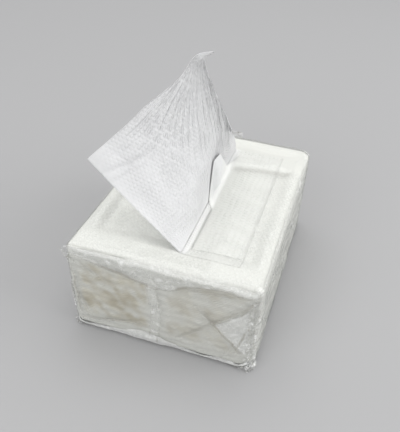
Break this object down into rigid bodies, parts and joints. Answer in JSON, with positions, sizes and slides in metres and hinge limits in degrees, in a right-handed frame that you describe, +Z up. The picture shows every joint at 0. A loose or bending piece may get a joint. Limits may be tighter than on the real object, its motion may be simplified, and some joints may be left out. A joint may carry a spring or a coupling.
{
  "type": "soft tissue pack",
  "caption": "Soft pack of folded facial tissues in a clear film wrapper with folded, sealed ends, one tissue pulled up into a peak through the slot in the top.",
  "frame": {"origin": "centre of the base, on the surface that the pack rests on", "axes": "+X across the near end, +Y along the slot towards the far end, +Z up"},
  "size_m": [0.1, 0.133, 0.139],
  "materials": {
    "clear_film": "clear, soft, glossy where it wrinkles",
    "stacked_tissue": "matt, warm white, embossed with a fine grid of dots",
    "sheet_tissue": "matt, white, embossed with a fine grid of dots"
  },
  "bodies": {
    "root": {"film_wrapper": "clear_film", "tissue_stack": "stacked_tissue", "pulled_tissue": "sheet_tissue", "next_tissue": "sheet_tissue"}
  },
  "joints": []
}
